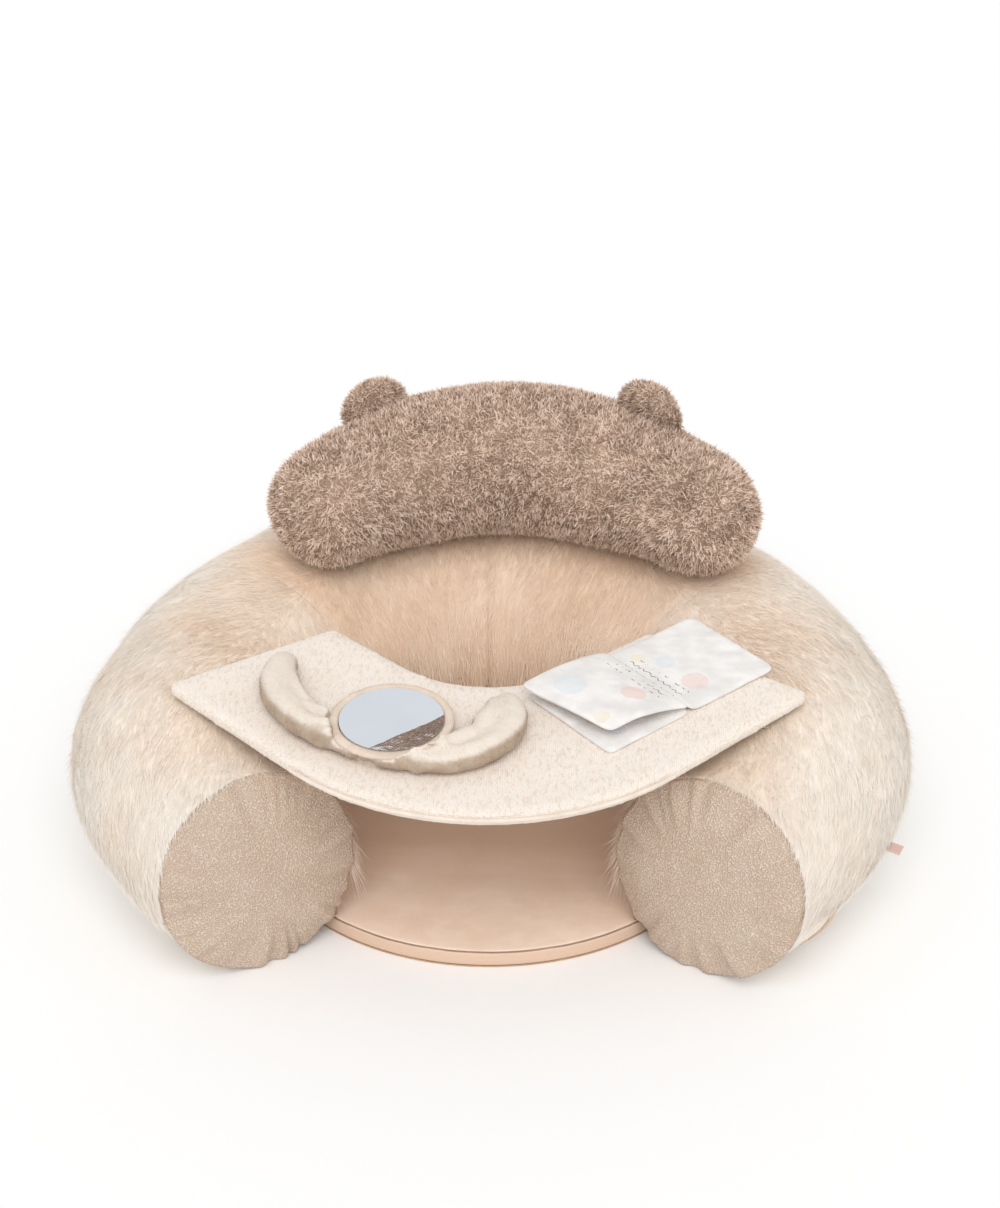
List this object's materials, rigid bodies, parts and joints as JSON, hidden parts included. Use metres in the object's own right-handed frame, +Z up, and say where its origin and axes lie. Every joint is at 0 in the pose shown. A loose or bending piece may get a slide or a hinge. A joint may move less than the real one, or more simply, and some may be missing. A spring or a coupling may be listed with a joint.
{
  "type": "baby floor seat",
  "caption": "Inflatable horseshoe floor seat in a plush cover, with a floor mat, crescent headrest, lift-off play tray, mirror toy and cloth book.",
  "frame": {"origin": "on the floor, at the centre of the ring", "axes": "+Z up, the arms and the open front point along -Y, +X is the sitter's left as seen from the front"},
  "size_m": [0.6992, 0.6049, 0.3484],
  "materials": {
    "fur": "long soft pile, cream with peach undertone",
    "velour": "short smooth pile",
    "tan_cloth": "matt brushed cloth",
    "boucle": "short curly taupe pile",
    "sherpa": "curly dark taupe pile",
    "wadding": "loose polyester fibre",
    "foam": "open foam",
    "film": "clear welded film",
    "plug": "moulded",
    "zip_metal": "painted",
    "tag": "woven ribbon, plain",
    "hook_and_loop": "hook and loop tape",
    "oat_knit": "oatmeal knit with fine flecks",
    "moon_velour": "soft short velour with a sheen",
    "mirror": "polished plastic mirror sheet",
    "page_cloth": null
  },
  "bodies": {
    "seat": {"fur_arm_right": "fur", "fur_back": "fur", "fur_arm_left": "fur", "velour_panel_right": "velour", "velour_panel_back": "velour", "velour_panel_left": "velour", "well_wall": "tan_cloth", "foot_end_right": "boucle", "foot_end_left": "boucle", "foot_wadding_right": "wadding", "foot_wadding_left": "wadding", "binding_right": "tan_cloth", "binding_left": "tan_cloth", "loop_tag": "tag", "chamber_top": "film", "chamber_bottom": "film", "chamber_end_right": "film", "chamber_end_left": "film", "valve_stem": "film", "valve_flap": "film", "zip_tape": "tan_cloth", "zip_coil": "plug", "mat_top": "tan_cloth", "mat_foam": "foam", "mat_band": "tan_cloth", "underside": "tan_cloth", "headrest_cover": "sherpa", "headrest_filling": "wadding", "ear_right": "sherpa", "ear_left": "sherpa", "arm_loop_strips": "hook_and_loop"},
    "valve_plug": {"valve_plug": "plug"},
    "zip_slider": {"zip_slider": "zip_metal"},
    "zip_pull": {"zip_pull": "zip_metal"},
    "tray": {"tray_cover": "oat_knit", "tray_foam": "foam", "tray_underside": "oat_knit", "tray_piping": "velour", "tray_hook_strips": "hook_and_loop"},
    "mirror_toy": {"moon": "moon_velour", "mirror_backing": "wadding", "mirror_rim": "moon_velour", "mirror_sheet": "mirror"},
    "book": {"book_back_page": "page_cloth"},
    "book_middle_page": {"book_middle_page": "page_cloth"},
    "book_front_page": {"book_front_page": "page_cloth"}
  },
  "joints": [
    {"name": "valve_plug_pull", "type": "slide", "parent": "seat", "child": "valve_plug", "axis": [-0.1179, 0.6687, -0.7341], "range_m": [0, 0.012]},
    {"name": "zip_run", "type": "hinge", "parent": "seat", "child": "zip_slider", "pos_m": [0, 0, 0.0736], "axis": [0, 0, 1], "range_deg": [0, 54]},
    {"name": "zip_pull_swing", "type": "hinge", "parent": "zip_slider", "child": "zip_pull", "pos_m": [0.1638, 0.3132, 0.0719], "axis": [-0.1536, -0.2937, -0.9435], "range_deg": [0, 100]},
    {"name": "tray_lift", "type": "slide", "parent": "seat", "child": "tray", "axis": [0, 0, 1], "range_m": [0, 0.15]},
    {"name": "mirror_toy_lift", "type": "slide", "parent": "tray", "child": "mirror_toy", "axis": [0, 0, 1], "range_m": [0, 0.1]},
    {"name": "book_lift", "type": "slide", "parent": "tray", "child": "book", "axis": [0, 0, 1], "range_m": [0, 0.1]},
    {"name": "front_page_turn", "type": "hinge", "parent": "book", "child": "book_front_page", "pos_m": [0.1265, -0.07762, 0.19785], "axis": [-0.6561, 0.7491, 0.092], "range_deg": [0, 178]},
    {"name": "middle_page_turn", "type": "hinge", "parent": "book", "child": "book_middle_page", "pos_m": [0.1265, -0.07762, 0.19785], "axis": [-0.6561, 0.7491, 0.092], "range_deg": [0, 172]}
  ],
  "couplings": [
    {"joint": "middle_page_turn", "follows": "front_page_turn", "ratio": 0.9612}
  ]
}
